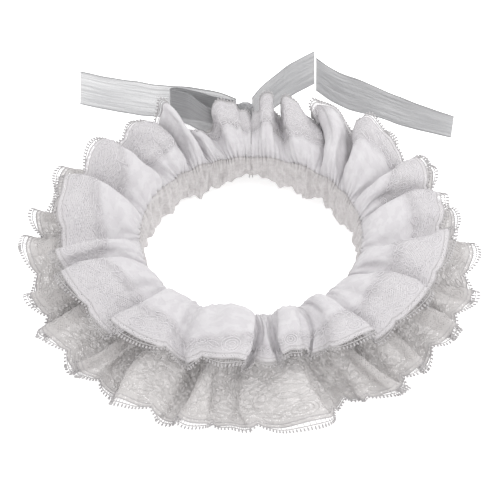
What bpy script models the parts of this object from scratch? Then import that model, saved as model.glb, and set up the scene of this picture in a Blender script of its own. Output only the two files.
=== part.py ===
"""Ruffled lace collar, laid on a surface: two tiers of fluted lace on a gathered neck stand,
open at the back, with a pair of ribbon ties knotted behind it.

Metres, +Z up. The surface is at z = 0, and the origin is on it at the middle of the whole, ties and all.
Angles go counter-clockwise from +X round the neck, so the back, where the strip ends meet, is at 90.
The tables are in millimetres and degrees, from the middle of the neck.
"""

import math

import bmesh
import bpy
import numpy as np

MM = 0.001

# The middle of the neck, from the origin
NECK_CENTRE = (1.26 * MM, -21.68 * MM, 0.0)

# Cloth and ribbon
CLOTH = 1.1 * MM
RIBBON_WALL = 1.0 * MM
RIBBON_WIDTH = 22.0 * MM

# Frills
UPPER_WIDTH = 62.0 * MM
LOWER_WIDTH = 77.0 * MM
COLUMNS_PER_FLUTE = 10
# Small waves that grow towards the rim, and how far they drift along the strip
RIPPLES_PER_FLUTE = 1.7
RIPPLE_DRIFT = 2.0
# The share of the width over which a flute spreads to its full breadth
BREADTH_FROM = 0.1

# Lace edge: each scallop ends in a cord of picots, held off the lace by an open crescent
SCALLOPS_PER_FLUTE = 2
SCALLOP_DEPTH = 6.0 * MM
# Under 1 makes a scallop fuller than a half wave
SCALLOP_FULLNESS = 0.8
# How fast the rows inside the edge stop following the scallops
SCALLOP_FADE = 4
PICOT_BAND = 2.6 * MM
CRESCENT = 2.2 * MM
CRESCENT_SHARE = 0.8
# Flutes at each end of a strip that keep their edge whole
UNCUT_END = 0.2

# Neck stand
STAND_RADIUS = 67.0 * MM
STAND_TOP = 27.9 * MM
STAND_FOOT = 7.0 * MM
# The foot is this much higher at the two ends, falling away over this angle
STAND_RAISED = 8.0 * MM
STAND_RAISED_DEG = 18.0
STAND_GATHERS = 42
STAND_PUCKER = 0.8 * MM
# The share of a pucker that is left where the seam draws it in
PUCKER_AT_SEAM = 0.4
# Each row is a slow wave in the height of the stand's raw foot
STAND_RAGGED = ((9, 1.5 * MM), (23, 1.0 * MM))
# Half the space between the ends of the stand
STAND_END_GAP = 0.3 * MM

# Knot of the two ties, behind the frills
KNOT_CENTRE = (-3.8 * MM, 128.4 * MM, 11.0 * MM)
KNOT_SIZE = (14.0 * MM, 11.0 * MM, 18.0 * MM)
KNOT_PINCH = 0.12

# Ribbons
RIBBON_STEP = 3.5 * MM
RIBBON_ROWS = 2

COLOURS = {
    "upper_frill": (0.80, 0.79, 0.80),
    "lower_frill": (0.62, 0.60, 0.62),
    "neck_stand": (0.66, 0.65, 0.66),
    "ribbon": (0.50, 0.50, 0.51),
}
LACE_ROUGHNESS = 0.85
RIBBON_ROUGHNESS = 0.45


def table(names, rows):
    """A table as one array for each named column."""
    return dict(zip(names.split(), np.array(rows, float).T))


# Each row is the bottom of a valley between two flutes: where it starts at the neck and ends at the rim,
# its bow half-way, how far it is filled, and how far its rim is tucked in
VALLEY_COLUMNS = ("neck_deg", "rim_deg", "bow_deg", "fill", "tuck")
UPPER_VALLEYS = table("neck_deg rim_deg bow_deg fill tuck", [
    (90.2, 90.2, 0, 0.55, 0.04),
    (103, 105, 2, 0.05, 0.10),
    (112, 117, 2, 0.00, 0.06),
    (124, 127, -2, 0.05, 0.10),
    (137, 143, 3, 0.10, 0.08),
    (167, 165, -3, 0.05, 0.10),
    (184, 190, 3, 0.00, 0.12),
    (206, 201, -2, 0.15, 0.08),
    (225, 223, 3, 0.20, 0.12),
    (248, 250, -4, 0.40, 0.14),
    (270, 267, 3, 0.35, 0.20),
    (279.5, 280, -2, 0.40, 0.10),
    (292.5, 290, 2, 0.40, 0.20),
    (307, 312, -2, 0.35, 0.12),
    (326, 333, 2, 0.05, 0.12),
    (346, 356, -3, 0.10, 0.08),
    (367, 373, 3, 0.15, 0.08),
    (383, 389, -2, 0.05, 0.10),
    (396, 412, 2, 0.05, 0.10),
    (412, 431, -3, 0.10, 0.08),
    (431, 440, 2, 0.10, 0.10),
    (449.8, 449.8, 0, 0.55, 0.04),
])
# Each row is a flute, between two valleys. Its crest has a rise near the neck and a lift at the rim, which
# it reaches out to, and leans over a neighbour. It is raised by its arch half-way out, its rim hangs by its
# droop, and its breadth spreads the crest over the valleys.
UPPER_FLUTES = table("rise lift reach lean arch droop breadth", [
    (0.80, 1.10, 0.96, 0.10, 0.0, 0.0, 0.10),
    (0.60, 0.25, 0.72, 0.00, 0.0, 2.0, 0.00),
    (1.00, 1.45, 1.08, -0.30, 0.0, 0.0, 0.30),
    (0.90, 1.05, 1.08, -0.40, 0.0, 0.0, 0.40),
    (1.00, 1.15, 1.12, -0.50, 0.0, 0.0, 0.40),
    (1.05, 1.10, 1.14, -0.52, 0.0, 0.0, 0.40),
    (0.80, 0.95, 1.10, -0.40, 0.0, 1.0, 0.30),
    (1.05, 1.15, 1.12, -0.50, 0.0, 2.0, 0.45),
    (1.05, 1.20, 0.96, -0.24, 2.0, 3.0, 0.42),
    (1.35, 1.20, 0.86, 0.22, 4.0, 5.0, 0.35),
    (0.50, 0.70, 0.78, 0.10, 3.0, 2.0, 0.20),
    (0.85, 1.00, 0.74, -0.14, 5.0, 2.0, 0.35),
    (1.05, 1.10, 0.90, 0.26, 4.0, 3.0, 0.30),
    (0.90, 1.05, 1.06, 0.38, 1.0, 3.0, 0.40),
    (0.98, 1.15, 1.14, 0.52, 0.0, 2.0, 0.45),
    (0.85, 0.95, 1.12, 0.40, 0.0, 1.0, 0.35),
    (1.00, 1.10, 1.12, 0.46, 0.0, 0.0, 0.40),
    (1.05, 1.15, 1.12, 0.50, 0.0, 0.0, 0.40),
    (1.00, 1.10, 1.10, 0.46, 0.0, 0.0, 0.40),
    (0.85, 1.20, 1.02, 0.34, 0.0, 0.0, 0.35),
    (0.80, 1.20, 0.98, -0.08, 0.0, 0.0, 0.10),
])
# Each row is a ring round the collar, at this share of the frill's width
UPPER_SECTIONS = table("share radius valley_z crest_z overhang", [
    (0.00, 68.3, 28.2, 30.8, 0.1),
    (0.08, 70.4, 29.0, 35.5, 0.3),
    (0.22, 76.8, 29.5, 41.5, 0.4),
    (0.45, 89.4, 28.5, 44.0, 0.4),
    (0.72, 103.0, 25.0, 42.0, 0.4),
    (1.00, 118.0, 21.0, 35.5, 0.3),
])

LOWER_VALLEYS = table("neck_deg rim_deg bow_deg fill tuck", [
    (92.2, 92.2, 0, 0.1, 0.00),
    (112, 113, 0, 0.0, 0.12),
    (129, 130, 2, 0.0, 0.06),
    (146, 146.5, -2, 0.1, 0.05),
    (162, 161, 2, 0.0, 0.07),
    (176, 175, -2, 0.1, 0.09),
    (191, 193, 2, 0.0, 0.08),
    (206, 206, -3, 0.1, 0.08),
    (220, 219, 3, 0.0, 0.05),
    (234, 233, -3, 0.1, 0.08),
    (250, 249, 2, 0.0, 0.08),
    (268, 267, -3, 0.1, 0.12),
    (289, 297, 1, 0.0, 0.28),
    (306, 312, -3, 0.1, 0.07),
    (320, 320, 2, 0.0, 0.05),
    (334, 334, 2, 0.1, 0.07),
    (349, 348, -2, 0.0, 0.04),
    (364, 362, 2, 0.1, 0.07),
    (380, 379, -2, 0.0, 0.05),
    (397, 397, 2, 0.1, 0.06),
    (414, 415, 0, 0.0, 0.05),
    (430, 432, 0, 0.1, 0.04),
    (447.8, 448.4, 0, 0.1, 0.00),
])
LOWER_FLUTES = table("rise lift reach lean arch droop breadth", [
    (1.0, 1.00, 0.68, -0.10, 0, 0, 0.20),
    (1.0, 1.00, 0.88, -0.25, 0, 0, 0.20),
    (1.0, 1.10, 1.04, -0.34, 0, 0, 0.20),
    (1.0, 1.25, 1.09, -0.30, 0, 0, 0.25),
    (1.0, 0.90, 1.07, -0.16, 0, 0, 0.20),
    (1.0, 1.20, 1.08, -0.42, 0, 0, 0.30),
    (1.0, 1.00, 1.04, -0.32, 0, 0, 0.20),
    (1.0, 1.15, 1.08, -0.32, 0, 0, 0.25),
    (1.0, 0.85, 1.01, -0.26, 0, 0, 0.30),
    (1.0, 1.05, 1.08, -0.26, 0, 0, 0.20),
    (1.0, 0.75, 0.99, -0.20, 0, 0, 0.40),
    (1.0, 0.85, 1.04, 0.06, 0, 0, 0.15),
    (1.0, 1.10, 1.06, 0.26, 0, 0, 0.20),
    (1.0, 0.90, 0.98, 0.26, 0, 0, 0.20),
    (1.0, 1.15, 1.02, 0.40, 0, 0, 0.25),
    (1.0, 0.95, 1.05, 0.32, 0, 0, 0.20),
    (1.0, 1.20, 1.04, 0.42, 0, 0, 0.30),
    (1.0, 0.95, 0.96, 0.30, 0, 0, 0.20),
    (1.0, 1.15, 1.03, 0.38, 0, 0, 0.20),
    (1.0, 1.05, 1.05, 0.26, 0, 0, 0.20),
    (1.0, 1.05, 0.98, 0.20, 0, 0, 0.20),
    (1.0, 1.00, 0.71, 0.10, 0, 0, 0.20),
])
LOWER_SECTIONS = table("share radius valley_z crest_z overhang", [
    (0.00, 68.8, 19.0, 22.5, 0.1),
    (0.12, 73.9, 15.5, 23.5, 0.3),
    (0.32, 89.0, 9.0, 22.5, 0.4),
    (0.55, 105.6, 2.0, 19.5, 0.4),
    (0.78, 122.0, -2.0, 14.5, 0.3),
    (1.00, 139.0, -2.4, 10.0, 0.3),
])

# The ties, a stretch at a time. Each row is a point of a ribbon's lower edge and its lean to the back.
# The roots leave the neck side by side and reach the knot, and the other stretches start from it.
TIES = {
    "ribbon_root_left": table("x y low lean_deg", [
        (-1.0, 68.8, 4.0, 0),
        (-1.0, 88.0, 4.0, 0),
        (-1.6, 108.0, 2.0, 0),
        (-3.4, 123.2, 0.5, 0),
    ]),
    "ribbon_root_right": table("x y low lean_deg", [
        (1.0, 68.8, 4.0, 0),
        (1.0, 88.0, 4.0, 0),
        (0.4, 108.0, 2.0, 0),
        (-1.7, 123.5, 0.5, 0),
    ]),
    "ribbon_left": table("x y low lean_deg", [
        (-9.6, 131.0, 0.5, 0),
        (-22.0, 134.5, 0.5, 10),
        (-44.0, 137.0, 0.5, 20),
        (-60.0, 137.5, 0.5, 28),
        (-78.5, 140.5, 0.5, 40),
        (-95.5, 144.5, 0.5, 42),
        (-114.5, 150.5, 0.5, 46),
    ]),
    "ribbon_loop": table("x y low lean_deg", [
        (-8.4, 124.6, 2.0, 0),
        (-17.0, 120.4, 2.5, 0),
        (-25.0, 118.6, 3.0, 0),
        (-33.0, 121.6, 3.0, 8),
        (-42.0, 127.6, 3.0, 20),
        (-50.0, 130.4, 3.0, 22),
        (-53.5, 132.2, 3.0, 20),
        (-50.0, 133.8, 3.0, 20),
        (-38.0, 132.2, 3.0, 12),
        (-24.0, 129.6, 2.5, 4),
        (-10.3, 127.6, 2.0, 0),
    ]),
    "ribbon_right": table("x y low lean_deg", [
        (0.75, 131.9, 0.5, 0),
        (10.0, 140.0, 1.0, 24),
        (28.0, 157.0, 2.5, 38),
        (43.0, 167.2, 4.0, 40),
    ]),
    "ribbon_right_end": table("x y low lean_deg", [
        (44.0, 164.3, 0.5, 40),
        (54.0, 153.5, 0.5, 40),
        (66.0, 145.0, 0.5, 38),
        (86.0, 136.5, 0.5, 12),
        (106.0, 126.6, 0.5, 3),
        (132.0, 117.5, 0.5, -9),
    ]),
}
# A tier is its three tables, the width of its strip, how sharp its folds are, 0 for sharpest, and the
# height of its ripples at the rim
UPPER = {
    "valleys": UPPER_VALLEYS, "flutes": UPPER_FLUTES, "sections": UPPER_SECTIONS, "width": UPPER_WIDTH,
    "sharp": 0.50, "ripple": 1.0,
}
LOWER = {
    "valleys": LOWER_VALLEYS, "flutes": LOWER_FLUTES, "sections": LOWER_SECTIONS, "width": LOWER_WIDTH,
    "sharp": 0.60, "ripple": 1.6,
}


def smooth(xs, ys, at):
    """A smooth curve through the rows of a table, with no overshoot between them."""
    step = np.diff(xs)
    slope = np.diff(ys) / step
    before, after = slope[:-1], slope[1:]
    tangent = np.empty_like(ys)
    tangent[0], tangent[-1] = slope[0], slope[-1]
    w1, w2 = 2 * step[1:] + step[:-1], step[1:] + 2 * step[:-1]
    same_way = before * after > 0
    safe = np.where(same_way, before * w2 + after * w1, 1.0)
    tangent[1:-1] = np.where(same_way, (w1 + w2) * before * after / safe, 0.0)
    i = np.clip(np.searchsorted(xs, at, side="right") - 1, 0, len(xs) - 2)
    u = (at - xs[i]) / step[i]
    rise = ys[i + 1] - ys[i]
    start, end = tangent[i] * step[i], tangent[i + 1] * step[i]
    return ys[i] + u * start + u**2 * (3 * rise - 2 * start - end) + u**3 * (start + end - 2 * rise)


def flute_value(tier, name, x):
    """A column of the flutes' table, x flutes along the strip. A flute's crest is at its middle."""
    if name not in tier["flutes"]:
        return 0.0
    column = tier["flutes"][name]
    return smooth(np.arange(len(column)) + 0.5, column, np.clip(x, 0.5, len(column) - 0.5))


def frill_point(tier, t, s):
    """Underside of a frill: t flutes along the strip, at share s of its width from the neck."""
    sections = tier["sections"]
    radius, valley_z, crest_z, overhang = (
        smooth(sections["share"], sections[name], s)
        for name in ("radius", "valley_z", "crest_z", "overhang")
    )
    count = len(tier["flutes"]["lift"])
    sharp = tier["sharp"]
    height = (np.sqrt(np.sin(math.pi * t) ** 2 + sharp**2) - sharp) / (math.sqrt(1 + sharp**2) - sharp)
    spread = flute_value(tier, "breadth", t) * np.minimum(1, s / BREADTH_FROM)
    x = t - spread * np.sin(2 * math.pi * t) / (2 * math.pi)
    x += overhang * np.sin(4 * math.pi * t) / (4 * math.pi)
    x += flute_value(tier, "lean", t) * height * (1 - (1 - s) ** 2)
    x = np.clip(x, 0, count)
    at = np.arange(count + 1.0)
    neck, rim, bow, fill, tuck = (smooth(at, tier["valleys"][name], x) for name in VALLEY_COLUMNS)
    turn = np.radians(neck + (rim - neck) * s + bow * 4 * s * (1 - s))
    share = s**2
    lift = flute_value(tier, "rise", t) * (1 - share) + flute_value(tier, "lift", t) * share
    reach = 1 + (flute_value(tier, "reach", t) - 1) * s
    first = sections["radius"][0]
    radius = (first + (radius - first) * reach * (1 - tuck * s * (1 - height))) * MM
    raised = flute_value(tier, "arch", t) * 4 * s * (1 - s) - flute_value(tier, "droop", t) * share
    raised += tier["ripple"] * s * np.sin(RIPPLES_PER_FLUTE * 2 * math.pi * t + RIPPLE_DRIFT * np.sin(t))
    filled = fill * (1 - 0.5 * s)
    z = (valley_z + (crest_z - valley_z) * lift * (filled + (1 - filled) * height) + raised) * MM
    return np.stack([radius * np.cos(turn), radius * np.sin(turn), np.maximum(z, 0.0)], axis=-1)


def edged_share(tier, t, s):
    """The share of the width with the outer rows drawn in between the scallops."""
    bulge = np.abs(np.cos(math.pi * SCALLOPS_PER_FLUTE * t)) ** SCALLOP_FULLNESS
    return s * (1 - SCALLOP_DEPTH / tier["width"] * (1 - bulge) * s**SCALLOP_FADE)


def new_object(name, mesh, roughness, neck):
    """A piece with its own material, in the frame of the neck's middle."""
    mesh.shade_smooth()
    made = bpy.data.materials.new(name)
    made.use_nodes = True
    shader = made.node_tree.nodes["Principled BSDF"]
    colour = COLOURS["ribbon" if name.startswith("ribbon") else name]
    shader.inputs["Base Color"].default_value = (*colour, 1.0)
    shader.inputs["Roughness"].default_value = roughness
    shader.inputs["Metallic"].default_value = 0.0
    mesh.materials.append(made)
    piece = bpy.data.objects.new(name, mesh)
    piece.parent = neck
    neck.users_collection[0].objects.link(piece)
    return piece


def flat_grid(columns, rows):
    """A flat grid, with each point's x and y as its column and row."""
    sheet = bmesh.new()
    bmesh.ops.create_grid(sheet, x_segments=columns, y_segments=rows, size=1.0)
    for vert in sheet.verts:
        vert.co.x = round((vert.co.x + 1) / 2 * columns)
        vert.co.y = round((vert.co.y + 1) / 2 * rows)
    return sheet


def counts(sheet):
    """The columns and the rows of a grid's points."""
    return np.array([vert.co.x for vert in sheet.verts]), np.array([vert.co.y for vert in sheet.verts])


def to_wall(name, sheet, points, thickness, offset, roughness, neck):
    """The grid moved to its points and thickened: outwards at offset 1, both ways at offset 0."""
    for vert, point in zip(sheet.verts, points):
        vert.co = point
    mesh = bpy.data.meshes.new(name)
    sheet.to_mesh(mesh)
    sheet.free()
    piece = new_object(name, mesh, roughness, neck)
    solidify = piece.modifiers.new("wall", "SOLIDIFY")
    solidify.thickness = thickness
    solidify.offset = offset
    return piece


def crescent_faces(sheet, open_row, count):
    """The faces of one row of a frill that are open, in the middle of each scallop."""
    for face in sheet.faces:
        middle = face.calc_center_median()
        t = middle.x / COLUMNS_PER_FLUTE
        from_scallop = abs((SCALLOPS_PER_FLUTE * t + 0.5) % 1 - 0.5)
        whole_end = t < UNCUT_END or t > count - UNCUT_END
        if int(middle.y) == open_row and from_scallop < CRESCENT_SHARE / 2 and not whole_end:
            yield face


def build_frill(name, tier, neck):
    """One tier: a grid in cloth order, with its crescents cut, laid along the flutes."""
    count = len(tier["flutes"]["lift"])
    outer = 1 - PICOT_BAND / tier["width"]
    inner = outer - CRESCENT / tier["width"]
    shares = np.array([*tier["sections"]["share"][:-1], inner, outer, 1.0])
    open_row = len(shares) - 3
    sheet = flat_grid(count * COLUMNS_PER_FLUTE, len(shares) - 1)
    bmesh.ops.delete(sheet, geom=list(crescent_faces(sheet, open_row, count)), context="FACES_ONLY")
    column, row = counts(sheet)
    t = column / COLUMNS_PER_FLUTE
    s = shares[row.astype(int)]
    points = frill_point(tier, t, edged_share(tier, t, s))
    # Columns go counter-clockwise and rows outwards, so the grid faces down until it is turned over
    bmesh.ops.reverse_faces(sheet, faces=sheet.faces)
    return to_wall(name, sheet, points, CLOTH, 1.0, LACE_ROUGHNESS, neck)


def build_stand(neck):
    """The gathered stand round the neck, puckered where it is drawn up on its thread."""
    columns = STAND_GATHERS * 2
    sheet = flat_grid(columns, 1)
    column, down = counts(sheet)
    end = math.asin(STAND_END_GAP / STAND_RADIUS)
    turn = math.pi / 2 + end + column / columns * (2 * math.pi - 2 * end)
    pucker = STAND_PUCKER * np.cos(math.pi * column)
    # The puckers are drawn in at the seam and full at the foot
    radius = STAND_RADIUS + pucker * (PUCKER_AT_SEAM + (1 - PUCKER_AT_SEAM) * down)
    foot = STAND_FOOT + sum(size * np.sin(waves * turn) for waves, size in STAND_RAGGED)
    from_ends = np.degrees(np.minimum(turn - math.pi / 2, 5 * math.pi / 2 - turn))
    foot = foot + STAND_RAISED * np.exp(-((from_ends / STAND_RAISED_DEG) ** 2))
    z = STAND_TOP + (foot - STAND_TOP) * down
    points = np.stack([radius * np.cos(turn), radius * np.sin(turn), z], axis=-1)
    return to_wall("neck_stand", sheet, points, CLOTH, 0.0, LACE_ROUGHNESS, neck)


def build_ribbon(name, route, neck):
    """A ribbon on edge, with its lower edge along its route."""
    stops = np.concatenate([[0.0], np.cumsum(np.hypot(np.diff(route["x"]), np.diff(route["y"])))])
    columns = math.ceil(stops[-1] * MM / RIBBON_STEP)
    sheet = flat_grid(columns, RIBBON_ROWS)
    column, row = counts(sheet)
    at = column / columns * stops[-1]
    x, y, low, lean = (smooth(stops, route[key], at) for key in ("x", "y", "low", "lean_deg"))
    lean = np.radians(lean)
    up = row / RIBBON_ROWS * RIBBON_WIDTH
    points = np.stack([x * MM, y * MM + up * np.sin(lean), low * MM + up * np.cos(lean)], axis=-1)
    return to_wall(name, sheet, points, RIBBON_WALL, 0.0, RIBBON_ROUGHNESS, neck)


def build_knot(neck):
    """The ties' knot, a soft block drawn in at its middle."""
    form = bmesh.new()
    bmesh.ops.create_uvsphere(form, u_segments=16, v_segments=10, radius=0.5)
    for vert in form.verts:
        pinch = 1 - KNOT_PINCH * math.cos(math.pi * vert.co.z)
        vert.co.x = KNOT_CENTRE[0] + vert.co.x * pinch * KNOT_SIZE[0]
        vert.co.y = KNOT_CENTRE[1] + vert.co.y * pinch * KNOT_SIZE[1]
        vert.co.z = KNOT_CENTRE[2] + vert.co.z * KNOT_SIZE[2]
    mesh = bpy.data.meshes.new("ribbon_knot")
    form.to_mesh(mesh)
    form.free()
    return new_object("ribbon_knot", mesh, RIBBON_ROUGHNESS, neck)


def main():
    for old in list(bpy.data.objects):
        bpy.data.objects.remove(old)
    collection = bpy.data.collections.new("ruffled_lace_collar")
    bpy.context.scene.collection.children.link(collection)
    neck = bpy.data.objects.new("neck_centre", None)
    neck.location = NECK_CENTRE
    collection.objects.link(neck)
    build_frill("upper_frill", UPPER, neck)
    build_frill("lower_frill", LOWER, neck)
    build_stand(neck)
    for name, route in TIES.items():
        build_ribbon(name, route, neck)
    build_knot(neck)


main()
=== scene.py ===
"""Looks of the ruffled lace collar: two tiers of fluted cloth and lace, a neck stand and organza ties.

Metres, +Z up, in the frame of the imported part. Sizes and tables are in millimetres and degrees, from the
middle of the neck, and those of the construction repeat the solids'. A place on a frill is t flutes along
its strip and a share s of its width from the neck. The share q is the same, with the scallops drawn in. A
place in the lace is in millimetres of flat cloth: along the strip, and in from the scalloped rim.
"""

import math

import bpy
import numpy as np
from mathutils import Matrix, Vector


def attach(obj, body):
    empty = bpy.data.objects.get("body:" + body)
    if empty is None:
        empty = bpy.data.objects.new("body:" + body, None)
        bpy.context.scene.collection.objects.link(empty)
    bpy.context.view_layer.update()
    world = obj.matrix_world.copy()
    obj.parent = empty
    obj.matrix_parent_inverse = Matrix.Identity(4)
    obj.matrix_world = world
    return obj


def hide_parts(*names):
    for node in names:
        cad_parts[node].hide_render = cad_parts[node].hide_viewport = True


MM = 0.001
NECK_CENTRE = np.array([1.26, -21.68, 0.0]) * MM

# Construction, as in the solids
UPPER_WIDTH = 62.0
LOWER_WIDTH = 77.0
WALL = 1.1
RIPPLES_PER_FLUTE = 1.7
RIPPLE_DRIFT = 2.0
BREADTH_FROM = 0.1
STAND_RADIUS = 67.0
STAND_TOP = 27.9
STAND_FOOT = 7.0
STAND_RAISED = 8.0
STAND_RAISED_DEG = 18.0
STAND_RAGGED = ((9, 1.5), (23, 1.0))
KNOT_CENTRE = (-3.8, 128.4, 11.0)
KNOT_SIZE = (14.0, 11.0, 18.0)
KNOT_PINCH = 0.12
RIBBON_WIDTH = 22.0

# Cut of the cloth
UPPER_LENGTH = 1150.0
LOWER_LENGTH = 1160.0
CLOTH_SHARE = 0.88
STAND_WIDTH = 21.0
STAND_LENGTH = 500.0
SHELL_WALL = 0.4

# How the cloth lies. The ends of a strip close at the back, and none of it lies under its least height.
END_CLOSING_DEG = 0.16
END_CLOSING_OVER = 0.08
LEAST_HEIGHT = 0.6
GATHER_FADE = 0.17
CREASE_DEPTH = 2.1
STAND_JOIN = 0.2
STAND_DROP = 0.8
ROOT_START = 0.12

# The scalloped rim, from its picots in to the open crescents and their bars
SCALLOPS_PER_FLUTE = 2
SCALLOP_FULLNESS = 0.8
SCALLOP_FADE = 4
PICOT_BAND = 2.6
PICOT_PITCH = 2.2
PICOT_SHARE = 0.75
PICOT_HALF_WIDE = (0.35, 0.7, 0.75, 0.5)
PICOT_HALF_HIGH = 0.4
CRESCENT = 2.2
CRESCENT_SHARE = 0.8
CLOSED_GAP = 0.05
UNCUT_END = 0.2
BARS = 11
BAR_PITCH = 1.3
BAR_LEAST_GAP = 0.3
BAR_HALF = 0.2

# Raised lines of the lace and ribbons
LACE_FADE = 0.18
MOTIF_HEIGHT = 0.16
OUTLINE_HALF_WIDE = 0.24
RING_HALF_WIDE = 0.28
STEM_HALF_WIDE = 0.26
LEAF_FULLNESS = 1.2
PETAL_WIDE = 2.4
PETAL_FROM = 1.6
SELVEDGE_IN = 0.3
SELVEDGE_HALF_WIDE = 0.32
SELVEDGE_HALF_HIGH = 0.3

# Fineness of the meshes
COLUMNS_PER_FLUTE = 36
RIM_STEPS_PER_FLUTE = 120
STAND_COLUMNS = 1261
RIBBON_STEPS = 64
THREAD_SIDES = 4

# Finish, in metres of flat cloth
WEAVE_PITCH = 0.00042
NET_PITCH = 0.00135
LADDER_PITCH = 0.0021
LADDER_ENDS = (0.0056, 0.0052)
BAND_STARTS = (0.0069, 0.0072)
BAND_ENDS = (0.0092, 0.0088)
SHEER_RIM = (0.006, 0.022)
STAND_NET_PITCH = 0.0014
WARP_PITCH = 0.00055
SELVEDGE_FADE = (0.0011, 0.0006)

# Light and camera
FLOOR_SIZE = 6.0
FLOOR_DROP = 0.0002
FLOOR_GLOW = 0.57
LAMP_PLACE = (0.55, 0.0, 1.25)
LAMP_AIM = (0.0, -0.02, 0.0)
LAMP_POWER = 6.1
LAMP_SIZE = 1.8
WORLD_STRENGTH = 1.12
CAMERA_RISE_DEG = 46
CAMERA_AWAY = 1.2
CAMERA_AIM = (-0.6, -9.3, 25.0)
PIXELS, PIXELS_PER_MM = 500, 1.65


def table(names, rows):
    """A table as one array for each named column."""
    return dict(zip(names.split(), np.array(rows, float).T))


VALLEY_COLUMNS = ("neck_deg", "rim_deg", "bow_deg", "fill", "tuck")
UPPER_VALLEYS = table("neck_deg rim_deg bow_deg fill tuck", [
    (90.2, 90.2, 0, 0.55, 0.04),
    (103, 105, 2, 0.05, 0.10),
    (112, 117, 2, 0.00, 0.06),
    (124, 127, -2, 0.05, 0.10),
    (137, 143, 3, 0.10, 0.08),
    (167, 165, -3, 0.05, 0.10),
    (184, 190, 3, 0.00, 0.12),
    (206, 201, -2, 0.15, 0.08),
    (225, 223, 3, 0.20, 0.12),
    (248, 250, -4, 0.40, 0.14),
    (270, 267, 3, 0.35, 0.20),
    (279.5, 280, -2, 0.40, 0.10),
    (292.5, 290, 2, 0.40, 0.20),
    (307, 312, -2, 0.35, 0.12),
    (326, 333, 2, 0.05, 0.12),
    (346, 356, -3, 0.10, 0.08),
    (367, 373, 3, 0.15, 0.08),
    (383, 389, -2, 0.05, 0.10),
    (396, 412, 2, 0.05, 0.10),
    (412, 431, -3, 0.10, 0.08),
    (431, 440, 2, 0.10, 0.10),
    (449.8, 449.8, 0, 0.55, 0.04),
])
# A flute's rise is its height near the neck and its lift the height at its rim. It leans along the strip, and
# has a reach from the neck. It rises by its arch half-way out, and its rim hangs by its droop. Its breadth is
# how far its crest spreads over the valleys. The lace begins at these shares on its first and second side.
UPPER_FLUTES = table("rise lift reach lean arch droop breadth lace_first lace_second", [
    (0.80, 1.10, 0.96, 0.10, 0.0, 0.0, 0.10, 0.35, 0.35),
    (0.60, 0.25, 0.72, 0.00, 0.0, 2.0, 0.00, 0.55, 0.55),
    (1.00, 1.45, 1.08, -0.30, 0.0, 0.0, 0.30, 0.95, 0.85),
    (0.90, 1.05, 1.08, -0.40, 0.0, 0.0, 0.40, 0.30, 0.25),
    (1.00, 1.15, 1.12, -0.50, 0.0, 0.0, 0.40, 0.70, 0.30),
    (1.05, 1.10, 1.14, -0.52, 0.0, 0.0, 0.40, 0.60, 0.40),
    (0.80, 0.95, 1.10, -0.40, 0.0, 1.0, 0.30, 0.35, 0.45),
    (1.05, 1.15, 1.12, -0.50, 0.0, 2.0, 0.45, 0.50, 0.35),
    (1.05, 1.20, 0.96, -0.24, 2.0, 3.0, 0.42, 0.50, 0.55),
    (1.35, 1.20, 0.86, 0.22, 4.0, 5.0, 0.35, 0.70, 0.62),
    (0.50, 0.70, 0.78, 0.10, 3.0, 2.0, 0.20, 0.70, 0.70),
    (0.85, 1.00, 0.74, -0.14, 5.0, 2.0, 0.35, 0.72, 0.66),
    (1.05, 1.10, 0.90, 0.26, 4.0, 3.0, 0.30, 0.60, 0.50),
    (0.90, 1.05, 1.06, 0.38, 1.0, 3.0, 0.40, 0.45, 0.35),
    (0.98, 1.15, 1.14, 0.52, 0.0, 2.0, 0.45, 0.40, 0.35),
    (0.85, 0.95, 1.12, 0.40, 0.0, 1.0, 0.35, 0.55, 0.45),
    (1.00, 1.10, 1.12, 0.46, 0.0, 0.0, 0.40, 0.30, 0.60),
    (1.05, 1.15, 1.12, 0.50, 0.0, 0.0, 0.40, 0.65, 0.35),
    (1.00, 1.10, 1.10, 0.46, 0.0, 0.0, 0.40, 0.80, 0.75),
    (0.85, 1.20, 1.02, 0.34, 0.0, 0.0, 0.35, 0.30, 0.25),
    (0.80, 1.20, 0.98, -0.08, 0.0, 0.0, 0.10, 0.35, 0.35),
])
UPPER_SECTIONS = table("share radius valley_z crest_z overhang", [
    (0.00, 68.3, 28.2, 30.8, 0.1),
    (0.08, 70.4, 29.0, 35.5, 0.3),
    (0.22, 76.8, 29.5, 41.5, 0.4),
    (0.45, 89.4, 28.5, 44.0, 0.4),
    (0.72, 103.0, 25.0, 42.0, 0.4),
    (1.00, 118.0, 21.0, 35.5, 0.3),
])
LOWER_VALLEYS = table("neck_deg rim_deg bow_deg fill tuck", [
    (92.2, 92.2, 0, 0.1, 0.00),
    (112, 113, 0, 0.0, 0.12),
    (129, 130, 2, 0.0, 0.06),
    (146, 146.5, -2, 0.1, 0.05),
    (162, 161, 2, 0.0, 0.07),
    (176, 175, -2, 0.1, 0.09),
    (191, 193, 2, 0.0, 0.08),
    (206, 206, -3, 0.1, 0.08),
    (220, 219, 3, 0.0, 0.05),
    (234, 233, -3, 0.1, 0.08),
    (250, 249, 2, 0.0, 0.08),
    (268, 267, -3, 0.1, 0.12),
    (289, 297, 1, 0.0, 0.28),
    (306, 312, -3, 0.1, 0.07),
    (320, 320, 2, 0.0, 0.05),
    (334, 334, 2, 0.1, 0.07),
    (349, 348, -2, 0.0, 0.04),
    (364, 362, 2, 0.1, 0.07),
    (380, 379, -2, 0.0, 0.05),
    (397, 397, 2, 0.1, 0.06),
    (414, 415, 0, 0.0, 0.05),
    (430, 432, 0, 0.1, 0.04),
    (447.8, 448.4, 0, 0.1, 0.00),
])
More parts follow.
